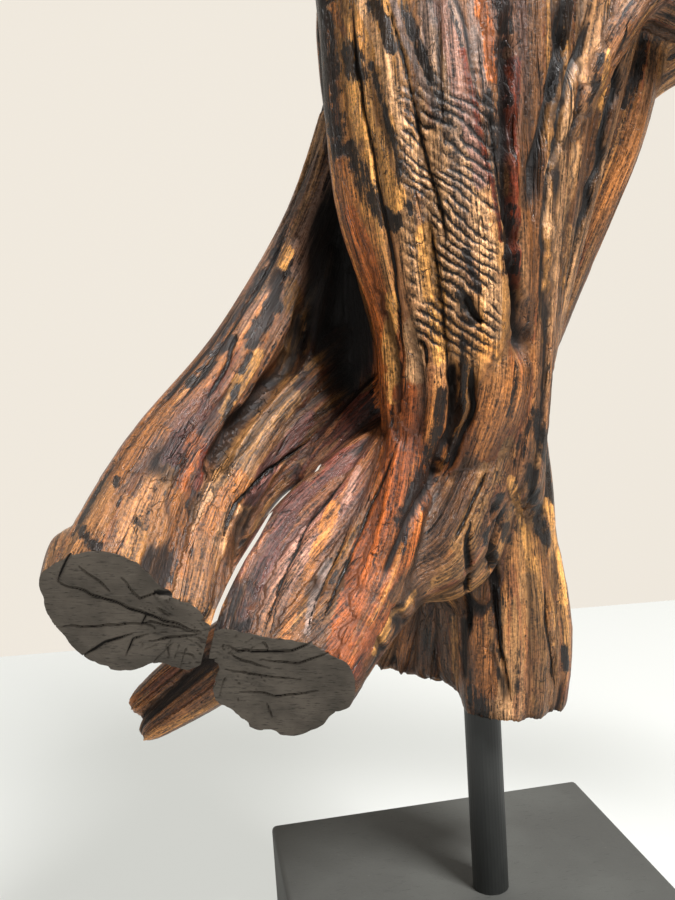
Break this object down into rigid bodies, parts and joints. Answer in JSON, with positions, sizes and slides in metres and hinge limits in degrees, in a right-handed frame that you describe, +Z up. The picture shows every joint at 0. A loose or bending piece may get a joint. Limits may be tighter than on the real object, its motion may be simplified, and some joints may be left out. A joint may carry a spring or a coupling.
{
  "type": "driftwood horse head sculpture on a stand",
  "caption": "Horse's head and neck of twisted, varnished driftwood root, held up by a dark steel rod in a square painted wooden block.",
  "frame": {"origin": "centre of the square block's underside, on the table", "axes": "+Z up, +X towards the side the horse faces, -Y towards the side with the sawn roots"},
  "size_m": [0.5057, 0.2, 0.746],
  "materials": {
    "driftwood": "varnished, weathered and charred root",
    "steel_rod": "satin black",
    "painted_block": "matt charcoal paint"
  },
  "bodies": {
    "root": {"driftwood_horse": "driftwood", "rod": "steel_rod", "base_block": "painted_block"}
  },
  "joints": []
}
